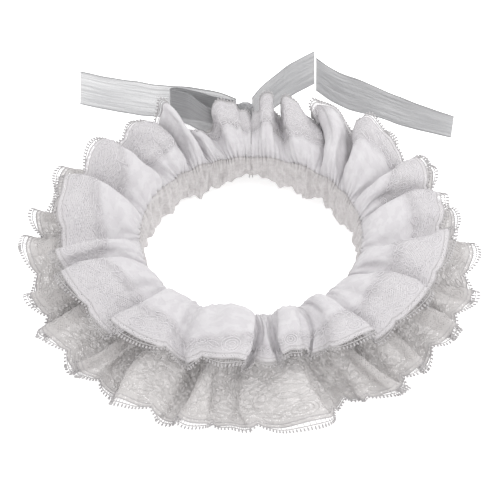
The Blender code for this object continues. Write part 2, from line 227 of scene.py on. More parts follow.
LOWER_FLUTES = table("rise lift reach lean arch droop breadth", [
    (1.0, 1.00, 0.68, -0.10, 0, 0, 0.20),
    (1.0, 1.00, 0.88, -0.25, 0, 0, 0.20),
    (1.0, 1.10, 1.04, -0.34, 0, 0, 0.20),
    (1.0, 1.25, 1.09, -0.30, 0, 0, 0.25),
    (1.0, 0.90, 1.07, -0.16, 0, 0, 0.20),
    (1.0, 1.20, 1.08, -0.42, 0, 0, 0.30),
    (1.0, 1.00, 1.04, -0.32, 0, 0, 0.20),
    (1.0, 1.15, 1.08, -0.32, 0, 0, 0.25),
    (1.0, 0.85, 1.01, -0.26, 0, 0, 0.30),
    (1.0, 1.05, 1.08, -0.26, 0, 0, 0.20),
    (1.0, 0.75, 0.99, -0.20, 0, 0, 0.40),
    (1.0, 0.85, 1.04, 0.06, 0, 0, 0.15),
    (1.0, 1.10, 1.06, 0.26, 0, 0, 0.20),
    (1.0, 0.90, 0.98, 0.26, 0, 0, 0.20),
    (1.0, 1.15, 1.02, 0.40, 0, 0, 0.25),
    (1.0, 0.95, 1.05, 0.32, 0, 0, 0.20),
    (1.0, 1.20, 1.04, 0.42, 0, 0, 0.30),
    (1.0, 0.95, 0.96, 0.30, 0, 0, 0.20),
    (1.0, 1.15, 1.03, 0.38, 0, 0, 0.20),
    (1.0, 1.05, 1.05, 0.26, 0, 0, 0.20),
    (1.0, 1.05, 0.98, 0.20, 0, 0, 0.20),
    (1.0, 1.00, 0.71, 0.10, 0, 0, 0.20),
])
LOWER_SECTIONS = table("share radius valley_z crest_z overhang", [
    (0.00, 68.8, 19.0, 22.5, 0.1),
    (0.12, 73.9, 15.5, 23.5, 0.3),
    (0.32, 89.0, 9.0, 22.5, 0.4),
    (0.55, 105.6, 2.0, 19.5, 0.4),
    (0.78, 122.0, -2.0, 14.5, 0.3),
    (1.00, 139.0, -2.4, 10.0, 0.3),
])
TIES = {
    "ribbon_root_left": table("x y low lean_deg", [
        (-1.0, 68.8, 4.0, 0), (-1.0, 88.0, 4.0, 0), (-1.6, 108.0, 2.0, 0), (-3.4, 123.2, 0.5, 0),
    ]),
    "ribbon_root_right": table("x y low lean_deg", [
        (1.0, 68.8, 4.0, 0), (1.0, 88.0, 4.0, 0), (0.4, 108.0, 2.0, 0), (-1.7, 123.5, 0.5, 0),
    ]),
    "ribbon_left": table("x y low lean_deg", [
        (-9.6, 131.0, 0.5, 0), (-22.0, 134.5, 0.5, 10), (-44.0, 137.0, 0.5, 20), (-60.0, 137.5, 0.5, 28),
        (-78.5, 140.5, 0.5, 40), (-95.5, 144.5, 0.5, 42), (-114.5, 150.5, 0.5, 46),
    ]),
    "ribbon_loop": table("x y low lean_deg", [
        (-8.4, 124.6, 2.0, 0), (-17.0, 120.4, 2.5, 0), (-25.0, 118.6, 3.0, 0), (-33.0, 121.6, 3.0, 8),
        (-42.0, 127.6, 3.0, 20), (-50.0, 130.4, 3.0, 22), (-53.5, 132.2, 3.0, 20), (-50.0, 133.8, 3.0, 20),
        (-38.0, 132.2, 3.0, 12), (-24.0, 129.6, 2.5, 4), (-10.3, 127.6, 2.0, 0),
    ]),
    "ribbon_right": table("x y low lean_deg", [
        (0.75, 131.9, 0.5, 0), (10.0, 140.0, 1.0, 24), (28.0, 157.0, 2.5, 38), (43.0, 167.2, 4.0, 40),
    ]),
    "ribbon_right_end": table("x y low lean_deg", [
        (44.0, 164.3, 0.5, 40), (54.0, 153.5, 0.5, 40), (66.0, 145.0, 0.5, 38), (86.0, 136.5, 0.5, 12),
        (106.0, 126.6, 0.5, 3), (132.0, 117.5, 0.5, -9),
    ]),
}

# Creases. Each is a soft trough, or a ridge where its depth is under zero. It starts t flutes
# along the strip, runs between two shares of the width, and drifts by its slant in flutes. Its depth is in
# parts of CREASE_DEPTH, and its width in millimetres.
UPPER_CREASES = table("t start end slant depth width", [
    (0.3, 0.1, 0.62, 0.1, 0.9, 4.0), (0.78, 0.15, 0.8, -0.08, 0.7, 5.0), (1.35, 0.05, 0.55, 0.12, 0.6, 3.5),
    (1.62, 0.3, 0.95, 0.05, -0.5, 4.5), (2.28, 0.08, 0.5, -0.1, 0.9, 3.0), (2.7, 0.25, 0.85, 0.12, 0.8, 5.0),
    (3.22, 0.1, 0.7, 0.08, 1.0, 4.0), (3.66, 0.2, 0.6, -0.14, 0.7, 3.0), (3.84, 0.4, 0.95, 0.06, 0.8, 4.5),
    (4.3, 0.06, 0.45, 0.1, 0.9, 3.2), (4.58, 0.3, 0.9, -0.1, -0.7, 5.0), (5.24, 0.12, 0.66, 0.1, 0.9, 4.0),
    (5.72, 0.2, 0.8, -0.12, 1.0, 4.5), (6.36, 0.05, 0.42, 0.1, 0.8, 3.0), (6.64, 0.35, 0.92, 0.06, 0.8, 5.0),
    (7.25, 0.1, 0.72, 0.16, 1.1, 4.0), (7.5, 0.25, 0.85, 0.2, 0.9, 3.2), (7.74, 0.15, 0.55, 0.1, 0.8, 3.0),
    (8.2, 0.12, 0.8, -0.14, 1.0, 4.0), (8.52, 0.3, 0.9, -0.1, 0.9, 3.0), (8.7, 0.1, 0.55, 0.12, 0.8, 3.5),
    (9.35, 0.15, 0.75, 0.08, 0.9, 3.0), (9.72, 0.2, 0.9, -0.08, -0.7, 3.6), (10.28, 0.1, 0.6, 0.1, 0.9, 3.0),
    (10.66, 0.25, 0.85, 0.06, 0.8, 3.4), (11.32, 0.1, 0.7, -0.12, 1.0, 3.6),
    (11.7, 0.3, 0.92, 0.1, 0.8, 4.0), (12.24, 0.08, 0.55, 0.12, 1.0, 3.4),
    (12.55, 0.25, 0.85, -0.1, 0.9, 4.0), (12.8, 0.1, 0.6, -0.1, 0.7, 3.0), (13.3, 0.12, 0.75, 0.1, 0.9, 4.4),
    (13.68, 0.3, 0.9, 0.08, -0.6, 4.0), (14.26, 0.08, 0.5, -0.12, 0.9, 3.2),
    (14.6, 0.2, 0.85, 0.1, 1.0, 5.0), (15.34, 0.1, 0.62, 0.12, 0.8, 3.6),
    (15.74, 0.28, 0.9, -0.06, 0.9, 4.4), (16.22, 0.06, 0.48, 0.1, 0.9, 3.0),
    (16.55, 0.25, 0.88, -0.12, -0.7, 5.0), (17.3, 0.1, 0.7, 0.12, 1.0, 4.2),
    (17.7, 0.2, 0.6, -0.1, 0.8, 3.2), (18.25, 0.1, 0.66, 0.08, 0.9, 3.8), (18.66, 0.3, 0.92, -0.1, 0.7, 5.0),
    (19.32, 0.08, 0.56, 0.1, 0.7, 3.4), (19.72, 0.2, 0.84, 0.08, 0.6, 4.4), (20.3, 0.1, 0.6, -0.1, 0.8, 3.6),
    (20.72, 0.22, 0.82, 0.06, 0.7, 4.6),
])
LOWER_CREASES = table("t start end slant depth width", [
    (0.4, 0.2, 0.7, 0.1, 0.8, 4.0), (1.6, 0.3, 0.9, -0.08, 0.7, 5.0), (2.35, 0.2, 0.8, 0.1, 0.9, 4.0),
    (3.3, 0.3, 0.95, -0.1, 0.8, 5.0), (3.75, 0.25, 0.8, 0.12, -0.6, 4.0), (4.4, 0.2, 0.75, 0.1, 0.9, 4.0),
    (5.25, 0.35, 0.95, 0.12, 0.9, 5.0), (5.7, 0.2, 0.7, -0.12, 0.8, 4.0), (6.45, 0.3, 0.92, 0.1, -0.7, 4.6),
    (7.3, 0.3, 0.9, 0.14, 1.0, 4.2), (7.68, 0.45, 1.0, -0.1, 0.9, 4.0), (8.28, 0.35, 0.95, 0.1, 1.0, 4.0),
    (8.66, 0.4, 1.0, -0.14, 0.9, 3.6), (9.35, 0.4, 1.0, 0.1, 1.7, 4.4), (9.75, 0.35, 1.0, 0.08, -1.3, 4.4),
    (10.3, 0.4, 1.05, -0.1, 1.8, 4.0), (10.7, 0.4, 1.05, 0.12, 1.9, 4.6),
    (11.14, 0.35, 1.05, 0.06, -1.5, 4.4), (11.34, 0.35, 1.08, 0.08, 2.3, 4.6),
    (11.54, 0.45, 1.08, 0.04, -1.4, 5.0), (11.75, 0.4, 1.08, -0.06, 2.3, 4.2),
    (12.35, 0.4, 1.05, 0.1, 1.7, 4.4), (12.72, 0.3, 0.98, -0.1, 1.3, 4.0), (13.4, 0.25, 0.85, 0.1, 0.8, 4.6),
    (14.3, 0.3, 0.9, -0.12, 0.9, 4.4), (14.72, 0.25, 0.75, 0.1, -0.6, 4.0), (15.45, 0.3, 0.9, 0.1, 0.8, 5.0),
    (16.35, 0.25, 0.85, -0.1, 0.9, 4.2), (17.3, 0.3, 0.9, 0.12, 0.8, 4.6),
    (18.6, 0.25, 0.85, -0.08, 0.8, 4.4), (19.4, 0.2, 0.7, 0.1, 0.7, 4.0),
    (20.55, 0.25, 0.75, -0.1, 0.8, 4.4),
])

# Motifs of one scallop, in flat cloth: across from the scallop's middle, and in from the rim
LEAVES = table("across inward turn_deg long wide", [
    (-7.6, 13.0, 150, 6.4, 2.3), (7.6, 13.0, 30, 6.4, 2.3), (-9.6, 9.4, 120, 4.8, 1.9),
    (9.6, 9.4, 60, 4.8, 1.9), (3.2, 20.5, 35, 7.2, 2.6), (-2.2, 22.5, 145, 7.2, 2.6),
    (6.0, 26.0, 20, 6.0, 2.2), (0.4, 29.0, 150, 6.2, 2.3), (8.6, 31.5, 60, 5.6, 2.1),
    (3.6, 35.0, 160, 5.4, 2.0), (-10.5, 24.0, 75, 6.8, 2.5), (-12.6, 29.0, 110, 5.8, 2.2),
    (-8.6, 41.0, 35, 5.4, 2.0), (-11.6, 44.5, 80, 5.0, 1.9),
])
RINGS = table("across inward radius", [
    (0.0, 12.6, 1.3), (0.0, 12.6, 2.7), (0.0, 12.6, 4.1), (-12.9, 15.4, 1.2), (-12.9, 15.4, 2.4),
    (11.4, 20.0, 1.4), (-5.6, 34.5, 1.3), (9.6, 40.5, 1.2), (9.6, 40.5, 2.4),
])
FLOWERS = table("across inward petals long", [
    (-5.6, 34.5, 6, 4.4), (11.4, 20.0, 5, 3.8), (2.4, 46.0, 5, 3.8),
])
STEMS = table("across inward to_across to_inward bow", [
    (0.0, 16.8, 5.6, 37.5, 2.6), (-5.6, 38.5, 2.4, 42.5, -2.0), (-12.9, 18.0, -9.0, 31.5, -2.2),
    (-9.0, 38.0, -12.0, 47.0, 1.6),
])
# Cords that follow the scallops: how far in from the rim, how wide and how high
UPPER_CORDS = table("inward half_wide high", [(2.6, 0.34, 0.30), (4.9, 0.36, 0.30), (7.4, 0.26, 0.22)])
LOWER_CORDS = table("inward half_wide high", [(2.6, 0.34, 0.30), (4.9, 0.36, 0.30), (7.0, 0.26, 0.22)])

# A tier's folds are sharper where sharp is lower. Pucker, ripple, folds and scallop are heights or depths in
# millimetres, and the lifts are how far its net, edge and motifs lie over the middle of the cloth.
UPPER = {
    "valleys": UPPER_VALLEYS, "flutes": UPPER_FLUTES, "sections": UPPER_SECTIONS, "creases": UPPER_CREASES,
    "width": UPPER_WIDTH, "length": UPPER_LENGTH, "pucker": 0.75, "cords": UPPER_CORDS,
    "sharp": 0.50, "ripple": 1.0, "folds": 1.9, "scallop": 6.0,
    "net_lift": 0.42, "edge_lift": 0.45, "motif_lift": 0.5,
}
LOWER = {
    "valleys": LOWER_VALLEYS, "flutes": LOWER_FLUTES, "sections": LOWER_SECTIONS, "creases": LOWER_CREASES,
    "width": LOWER_WIDTH, "length": LOWER_LENGTH, "pucker": 0.4, "cords": LOWER_CORDS,
    "sharp": 0.60, "ripple": 1.6, "folds": 3.0, "scallop": 8.5,
    "net_lift": 0.0, "edge_lift": 0.05, "motif_lift": 0.1,
}


def smooth(xs, ys, at):
    """A smooth curve through the rows of a table, with no overshoot between them."""
    step = np.diff(xs)
    slope = np.diff(ys) / step
    before, after = slope[:-1], slope[1:]
    tangent = np.empty_like(ys)
    tangent[0], tangent[-1] = slope[0], slope[-1]
    w1, w2 = 2 * step[1:] + step[:-1], step[1:] + 2 * step[:-1]
    same_way = before * after > 0
    safe = np.where(same_way, before * w2 + after * w1, 1.0)
    tangent[1:-1] = np.where(same_way, (w1 + w2) * before * after / safe, 0.0)
    i = np.clip(np.searchsorted(xs, at, side="right") - 1, 0, len(xs) - 2)
    u = (at - xs[i]) / step[i]
    rise = ys[i + 1] - ys[i]
    start, end = tangent[i] * step[i], tangent[i + 1] * step[i]
    return ys[i] + u * start + u**2 * (3 * rise - 2 * start - end) + u**3 * (start + end - 2 * rise)


def flute_value(tier, name, x):
    """A column of the flutes' table, x flutes along the strip. A flute's crest is at its middle."""
    if name not in tier["flutes"]:
        return 0.0
    column = tier["flutes"][name]
    return smooth(np.arange(len(column)) + 0.5, column, np.clip(x, 0.5, len(column) - 0.5))


def flute_count(tier):
    """How many flutes a tier has."""
    return len(tier["flutes"]["lift"])


def flute_long(tier):
    """The cloth in one flute, along the strip."""
    return tier["length"] / flute_count(tier)


def frill_form(tier, t, s):
    """Underside of a frill, as the solid has it, in millimetres from the neck's middle."""
    sections = tier["sections"]
    radius, valley_z, crest_z, overhang = (
        smooth(sections["share"], sections[name], s)
        for name in ("radius", "valley_z", "crest_z", "overhang")
    )
    count = flute_count(tier)
    sharp = tier["sharp"]
    height = (np.sqrt(np.sin(math.pi * t) ** 2 + sharp**2) - sharp) / (math.sqrt(1 + sharp**2) - sharp)
    spread = flute_value(tier, "breadth", t) * np.minimum(1, s / BREADTH_FROM)
    x = t - spread * np.sin(2 * math.pi * t) / (2 * math.pi)
    x = x + overhang * np.sin(4 * math.pi * t) / (4 * math.pi)
    x += flute_value(tier, "lean", t) * height * (1 - (1 - s) ** 2)
    x = np.clip(x, 0, count)
    at = np.arange(count + 1.0)
    neck, rim, bow, fill, tuck = (smooth(at, tier["valleys"][name], x) for name in VALLEY_COLUMNS)
    closing = END_CLOSING_DEG * (np.exp(-(count - t) / END_CLOSING_OVER) - np.exp(-t / END_CLOSING_OVER))
    turn = np.radians(neck + (rim - neck) * s + bow * 4 * s * (1 - s) + closing)
    share = s**2
    lift = flute_value(tier, "rise", t) * (1 - share) + flute_value(tier, "lift", t) * share
    reach = 1 + (flute_value(tier, "reach", t) - 1) * s
    first = sections["radius"][0]
    radius = first + (radius - first) * reach * (1 - tuck * s * (1 - height))
    raised = flute_value(tier, "arch", t) * 4 * s * (1 - s) - flute_value(tier, "droop", t) * share
    filled = fill * (1 - 0.5 * s)
    raised += tier["ripple"] * s * np.sin(RIPPLES_PER_FLUTE * 2 * math.pi * t + RIPPLE_DRIFT * np.sin(t))
    z = valley_z + (crest_z - valley_z) * lift * (filled + (1 - filled) * height) + raised
    return np.stack([radius * np.cos(turn), radius * np.sin(turn), np.maximum(z, 0.0)], axis=-1)


def window(value, start, end, soft=0.12):
    """1 between start and end, and falling softly to 0 just inside them."""
    rise = np.clip((value - start) / soft, 0, 1)
    fall = np.clip((end - value) / soft, 0, 1)
    return rise**2 * (3 - 2 * rise) * fall**2 * (3 - 2 * fall)


def relief(tier, t, s):
    """Puckers at the neck seam, creases, unevenness, and folds that grow to the rim, in millimetres."""
    along = t * flute_long(tier)
    inward = s * tier["width"]
    waves = np.sin(along / 1.15 + 1.7 * np.sin(along / 9.0))
    waves = waves + 0.6 * np.sin(along / 0.71 + 2.3 * np.sin(along / 6.1))
    total = tier["pucker"] * np.exp(-s / GATHER_FADE) * waves
    for first_t, start, end, slant, depth, width in zip(*tier["creases"].values()):
        near = np.abs(t - first_t) < 1.0
        across = (t - first_t - slant * (s - start)) * flute_long(tier) / width
        trough = CREASE_DEPTH * depth * np.exp(-(across**2)) * window(s, start, end)
        total = total - np.where(near, trough, 0.0)
    uneven = (
        0.50 * np.sin(along / 7.3 + inward / 11.0 + 1.5 * np.sin(inward / 13.0))
        + 0.38 * np.sin(along / 4.1 - inward / 6.5 + 1.3 * np.sin(along / 19.0))
        + 0.20 * np.sin(along / 2.3 + inward / 3.7 + 2.1)
    )
    drift = 2.4 * np.sin(along / 17.0)
    folds = tier["folds"] * s * np.sin(along / 2.7 + drift + 0.8 * np.sin(inward / 12.0 + along / 31.0))
    folds = folds * (0.6 + 0.4 * np.sin(along / 27.0 + inward / 21.0))
    return total + uneven * np.clip(s / 0.3, 0, 1) + folds


def scallop_share(tier, t, q):
    """The share of the width that is q of the way from the neck to the scalloped rim."""
    bulge = np.abs(np.cos(math.pi * SCALLOPS_PER_FLUTE * t)) ** SCALLOP_FULLNESS
    return q * (1 - tier["scallop"] / tier["width"] * (1 - bulge) * q**SCALLOP_FADE)


def on_frill(tier, t, q, lift=0.0):
    """Points of the cloth and their normals, in metres, lift millimetres above the middle of the cloth."""
    t = np.clip(np.asarray(t, float), 0.0, flute_count(tier))
    s = scallop_share(tier, t, q)
    small = 2e-3
    count = flute_count(tier)
    t0, t1 = np.clip(t - small, 0, count), np.clip(t + small, 0, count)
    s0, s1 = s - small, s + small
    along = frill_form(tier, t1, s) - frill_form(tier, t0, s)
    out = frill_form(tier, t, s1) - frill_form(tier, t, s0)
    normal = np.cross(out, along)
    normal /= np.linalg.norm(normal, axis=-1, keepdims=True)
    up = WALL / 2 + relief(tier, t, s) + lift
    points = frill_form(tier, t, s) + normal * np.asarray(up)[..., None]
    points[..., 2] = np.maximum(points[..., 2], LEAST_HEIGHT)
    return points * MM + NECK_CENTRE, normal


def mesh_object(name, points, faces, material, cloth=None):
    """A smooth mesh from points and quads or triangles, with a map of the cloth's flat sizes in metres."""
    used, faces = np.unique(faces, return_inverse=True)
    faces = faces.reshape(-1, faces.shape[-1] if faces.ndim > 1 else 4)
    points = points[used]
    mesh = bpy.data.meshes.new(name)
    sides = faces.shape[1]
    mesh.vertices.add(len(points))
    mesh.vertices.foreach_set("co", points.astype(np.float32).ravel())
    mesh.loops.add(faces.size)
    mesh.loops.foreach_set("vertex_index", faces.astype(np.int32).ravel())
    mesh.polygons.add(len(faces))
    mesh.polygons.foreach_set("loop_start", np.arange(0, faces.size, sides, dtype=np.int32))
    mesh.update(calc_edges=True)
    mesh.validate()
    mesh.shade_smooth()
    if cloth is not None:
        flat = mesh.uv_layers.new(name="cloth")
        flat.uv.foreach_set("vector", cloth[used][faces.ravel()].astype(np.float32).ravel())
    mesh.materials.append(material)
    piece = bpy.data.objects.new(name, mesh)
    bpy.context.scene.collection.objects.link(piece)
    return piece


def grid_faces(rows, columns, keep=None):
    """Quads of a grid, facing up where rows go outwards and columns counter-clockwise."""
    i, j = np.meshgrid(np.arange(rows - 1), np.arange(columns - 1), indexing="ij")
    first = i * columns + j
    quads = np.stack([first, first + columns, first + columns + 1, first + 1], axis=-1)
    return quads[keep] if keep is not None else quads.reshape(-1, 4)


def finish_piece(piece, slot, *nodes):
    """Every piece moves with the one body, and may stand for solids, which it hides. Its slot is not used."""
    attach(piece, "root")
    if nodes:
        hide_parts(*nodes)
    return piece


def threads(name, runs, sides, material):
    """Joined threads. A run is points, normals, half widths, half height and whether its ends meet.
    Points are (copies, steps, 3), and the half widths are one for each step."""
    all_points, all_faces, total = [], [], 0
    for points, normals, half_wide, half_high, closed in runs:
        copies, steps, _ = points.shape
        if closed:
            ahead = np.roll(points, -1, axis=1) - np.roll(points, 1, axis=1)
        else:
            ahead = np.gradient(points, axis=1)
        side = np.cross(normals, ahead)
        side /= np.maximum(np.linalg.norm(side, axis=-1, keepdims=True), 1e-12)
        turn = 2 * math.pi * (np.arange(sides) + 0.5) / sides
        wide = np.broadcast_to(np.asarray(half_wide, float), (steps,))[None, :, None, None] * MM
        ring = (
            points[:, :, None, :]
            + side[:, :, None, :] * np.cos(turn)[None, None, :, None] * wide
            + normals[:, :, None, :] * np.sin(turn)[None, None, :, None] * half_high * MM
        )
        spans = steps if closed else steps - 1
        k, i, j = np.meshgrid(np.arange(copies), np.arange(spans), np.arange(sides), indexing="ij")
        following = (i + 1) % steps
        around = (j + 1) % sides
        base = k * steps * sides
        quads = np.stack([
            base + i * sides + j, base + i * sides + around,
            base + following * sides + around, base + following * sides + j,
        ], axis=-1).reshape(-1, 4)
        all_points.append(ring.reshape(-1, 3))
        all_faces.append(quads + total)
        if not closed:
            all_faces.append(end_caps(copies, steps, sides) + total)
        total += copies * steps * sides
    return mesh_object(name, np.concatenate(all_points), np.concatenate(all_faces), material)


def end_caps(copies, steps, sides):
    """One quad at each end of every four-sided thread."""
    start = np.arange(copies)[:, None] * steps * sides
    ring = np.arange(sides)[None, :]
    return np.concatenate([start + ring[:, ::-1], start + (steps - 1) * sides + ring])


def new_material(name, colour, roughness, **constants):
    """A material, and its node tree with the shader's own constants set."""
    made = bpy.data.materials.new(name)
    made.use_nodes = True
    tree = made.node_tree
    shader = tree.nodes["Principled BSDF"]
    shader.inputs["Base Color"].default_value = (*colour, 1.0)
    shader.inputs["Roughness"].default_value = roughness
    for key, value in constants.items():
        shader.inputs[key.replace("_", " ")].default_value = value
    return made, tree, shader


def node(tree, kind, inputs=(), **settings):
    """A node with its settings and its inputs, each a value or another node's output."""
    made = tree.nodes.new(kind)
    for key, value in settings.items():
        setattr(made, key, value)
    for key, value in dict(inputs).items():
        if isinstance(value, bpy.types.NodeSocket):
            tree.links.new(value, made.inputs[key])
        else:
            made.inputs[key].default_value = value
    return made


def sums(tree, operation, *values):
    """The outcome of a sum on values or outputs."""
    return node(tree, "ShaderNodeMath", enumerate(values), operation=operation).outputs[0]


def ramp(tree, value, low, high, to_low=0.0, to_high=1.0):
    """The value moved softly from one range to another."""
    made = node(tree, "ShaderNodeMapRange", {
        "Value": value, "From Min": low, "From Max": high, "To Min": to_low, "To Max": to_high,
    }, interpolation_type="SMOOTHSTEP")
    return made.outputs[0]


def noise(tree, place, scale, detail=2.0):
    """Soft noise at this scale."""
    made = node(tree, "ShaderNodeTexNoise", {"Vector": place, "Scale": scale, "Detail": detail})
    return made.outputs[0]


def cloth_place(tree):
    """The flat cloth's sizes at a point, in metres: as a vector, along the strip and across it."""
    place = node(tree, "ShaderNodeUVMap", uv_map="cloth").outputs[0]
    apart = node(tree, "ShaderNodeSeparateXYZ", {0: place})
    return place, apart.outputs[0], apart.outputs[1]


def lines(tree, along, pitch, share, soft=0.08):
    """Lines a pitch apart, 1 on them and 0 between, that cover this share of the pitch."""
    wave = sums(tree, "PINGPONG", sums(tree, "DIVIDE", along, pitch), 0.5)
    return ramp(tree, wave, share / 2 + soft, share / 2, 0.0, 1.0)


def crossed(tree, operation, first, second, pitch, share, soft):
    """Two sets of the same lines, joined by this operation."""
    return sums(tree, operation, *(lines(tree, along, pitch, share, soft) for along in (first, second)))


def colours(tree, shader, share, first, second):
    """Colours the material between two tones, at this share."""
    made = node(tree, "ShaderNodeMix", {0: share}, data_type="RGBA")
    made.inputs[6].default_value = (*first, 1.0)
    made.inputs[7].default_value = (*second, 1.0)
    tree.links.new(made.outputs[2], shader.inputs["Base Color"])


def bumps(tree, shader, height, distance, strength):
    """The material's low relief from a height."""
    made = node(tree, "ShaderNodeBump", {"Height": height, "Distance": distance, "Strength": strength})
    tree.links.new(made.outputs[0], shader.inputs["Normal"])


def smooth_cloth():
    """Plain opaque cloth of the upper tier: a fine weave, soft sheen and slight shade from place to place."""
    made, tree, shader = new_material(
        "smooth_cloth", (0.74, 0.72, 0.745), 0.72, Sheen_Weight=0.25, Sheen_Roughness=0.5,
    )
    place, along, inward = cloth_place(tree)
    weave = crossed(tree, "MULTIPLY", along, inward, WEAVE_PITCH, 0.6, 0.2)
    shade = noise(tree, place, 28.0, 3.0)
    damask = ramp(tree, noise(tree, place, 190.0, 2.0), 0.46, 0.54)
    mix = sums(tree, "ADD", sums(tree, "MULTIPLY", shade, 0.5), sums(tree, "MULTIPLY", damask, 0.5))
    colours(tree, shader, mix, (0.575, 0.555, 0.575), (0.645, 0.63, 0.645))
    slub = noise(tree, place, 420.0, 2.0)
    height = sums(tree, "ADD", sums(tree, "MULTIPLY", weave, 0.25), sums(tree, "ADD", slub, damask))
    bumps(tree, shader, height, 0.00018, 0.7)
    tree.links.new(ramp(tree, shade, 0.3, 0.7, 0.66, 0.8), shader.inputs["Roughness"])
    return made


def net_lace(name, dark, light, fill):
    """Fine net with denser clothwork: small diamonds, patches more closed with more fill, and bands along
    the rim, where the net is most sheer."""
    made, tree, shader = new_material(name, light, 0.8, Sheen_Weight=0.15, Sheen_Roughness=0.5)
    place, along, inward = cloth_place(tree)
    wander = sums(tree, "MULTIPLY", sums(tree, "SUBTRACT", noise(tree, place, 300.0), 0.5), 0.0008)
    first = sums(tree, "ADD", sums(tree, "ADD", along, inward), wander)
    second = sums(tree, "ADD", sums(tree, "SUBTRACT", along, inward), wander)
    net = crossed(tree, "MAXIMUM", first, second, NET_PITCH, 0.4, 0.14)
    patches = ramp(tree, noise(tree, place, 480.0, 2.0), 0.46 - fill * 0.06, 0.6 - fill * 0.06)
    rungs = lines(tree, along, LADDER_PITCH, 0.5, 0.15)
    ladder = sums(tree, "MULTIPLY", rungs, ramp(tree, inward, *LADDER_ENDS))
    band = sums(tree, "MULTIPLY", ramp(tree, inward, *BAND_STARTS), ramp(tree, inward, *BAND_ENDS))
    closed = sums(tree, "MAXIMUM", sums(tree, "MAXIMUM", patches, ladder), band)
    cover = sums(tree, "MAXIMUM", sums(tree, "MULTIPLY", closed, 0.95), sums(tree, "MULTIPLY", net, 0.9))
    lace = node(tree, "ShaderNodeAttribute", attribute_name="lace").outputs[2]
    least = ramp(tree, inward, *SHEER_RIM, 0.1, 0.3 + 0.15 * fill)
    alpha = sums(tree, "MULTIPLY", sums(tree, "MAXIMUM", cover, least), lace)
    tree.links.new(alpha, shader.inputs["Alpha"])
    colours(tree, shader, closed, dark, light)
    bumps(tree, shader, sums(tree, "ADD", closed, sums(tree, "MULTIPLY", net, 0.6)), 0.0002, 0.7)
    return made


def thread_material(name, colour):
    """Cotton thread: matt, with its twist as a fine unevenness."""
    made, tree, shader = new_material(name, colour, 0.75, Sheen_Weight=0.2, Sheen_Roughness=0.5)
    place = node(tree, "ShaderNodeTexCoord").outputs["Object"]
    twist = noise(tree, place, 1600.0, 2.0)
    pale = tuple(min(1.0, c * 1.12) for c in colour)
    dim = tuple(c * 0.86 for c in colour)
    colours(tree, shader, twist, dim, pale)
    bumps(tree, shader, twist, 0.0001, 0.6)
    return made


def gathered_cloth():
    """The stand's thin cloth: drawn up fine, mottled darker and lighter in small specks, with a fine net."""
    made, tree, shader = new_material("gathered_cloth", (0.6, 0.585, 0.59), 0.8, Sheen_Weight=0.15)
    place, along, inward = cloth_place(tree)
    specks = noise(tree, place, 520.0, 3.0)
    net = crossed(tree, "MAXIMUM", along, inward, STAND_NET_PITCH, 0.4, 0.15)
    mottled = sums(tree, "MULTIPLY", ramp(tree, specks, 0.35, 0.65), 0.6)
    mix = sums(tree, "ADD", mottled, sums(tree, "MULTIPLY", net, 0.4))
    colours(tree, shader, mix, (0.45, 0.43, 0.43), (0.58, 0.56, 0.56))
    bumps(tree, shader, mix, 0.00025, 0.8)
    return made


def organza(name, cover, dark, light):
    """Sheer ribbon, with fine streaks along it and closed edges. Its cover is how much of it hides what lies
    behind."""
    made, tree, shader = new_material(name, light, 0.45, Sheen_Weight=0.2, Sheen_Roughness=0.35)
    place, _, across = cloth_place(tree)
    stretched = node(tree, "ShaderNodeMapping", {"Vector": place, "Scale": (26.0, 1500.0, 1.0)}).outputs[0]
    streaks = noise(tree, stretched, 1.0, 3.0)
    warp = lines(tree, across, WARP_PITCH, 0.55, 0.2)
    from_edge = sums(tree, "MINIMUM", across, sums(tree, "SUBTRACT", RIBBON_WIDTH * MM, across))
    edge = ramp(tree, from_edge, *SELVEDGE_FADE)
    thick = sums(
        tree, "ADD", sums(tree, "MULTIPLY", ramp(tree, streaks, 0.38, 0.66), 0.55),
        sums(tree, "MULTIPLY", warp, 0.45),
    )
    body = ramp(tree, thick, 0.0, 1.0, cover - 0.22, min(cover + 0.2, 1.0))
    tree.links.new(sums(tree, "MAXIMUM", body, sums(tree, "MULTIPLY", edge, 0.95)), shader.inputs["Alpha"])
    colours(tree, shader, thick, dark, light)
    bumps(tree, shader, thick, 0.0001, 0.6)
    return made


def floor_material():
    """A pale floor that glows a little, so that shadows on it stay faint."""
    made, tree, shader = new_material(
        "pale_floor", (0.93, 0.93, 0.93), 0.9, Specular_IOR_Level=0.2, Emission_Strength=FLOOR_GLOW,
    )
    shader.inputs["Emission Color"].default_value = (1.0, 1.0, 1.0, 1.0)
    place = node(tree, "ShaderNodeTexCoord").outputs["Object"]
    shade = noise(tree, place, 3.0, 2.0)
    colours(tree, shader, shade, (0.925, 0.925, 0.925), (0.935, 0.935, 0.935))
    return made


def lace_start(tier, t):
    """How far out the lace begins on a tier, as a share of its width."""
    if "lace_first" not in tier["flutes"]:
        return np.zeros_like(t)
    sides = np.stack([tier["flutes"]["lace_first"], tier["flutes"]["lace_second"]], axis=1).ravel()
    at = np.arange(len(sides)) / 2 + 0.25
    return smooth(at, sides, np.clip(t, at[0], at[-1]))


def strip_columns(tier):
    """Places along a tier's whole strip, in flutes."""
    count = flute_count(tier)
    return np.linspace(0, count, count * COLUMNS_PER_FLUTE + 1)


def flat_cloth(tier, t, q):
    """Where a place on a tier lies in its flat cloth, in metres."""
    return np.stack([t * flute_long(tier), (1 - q) * tier["width"]], axis=-1) * MM


def make_thin(piece):
    """Gives a sheet the thickness of its cloth."""
    shell = piece.modifiers.new("thin", "SOLIDIFY")
    shell.thickness = SHELL_WALL * MM
    shell.offset = 0.0


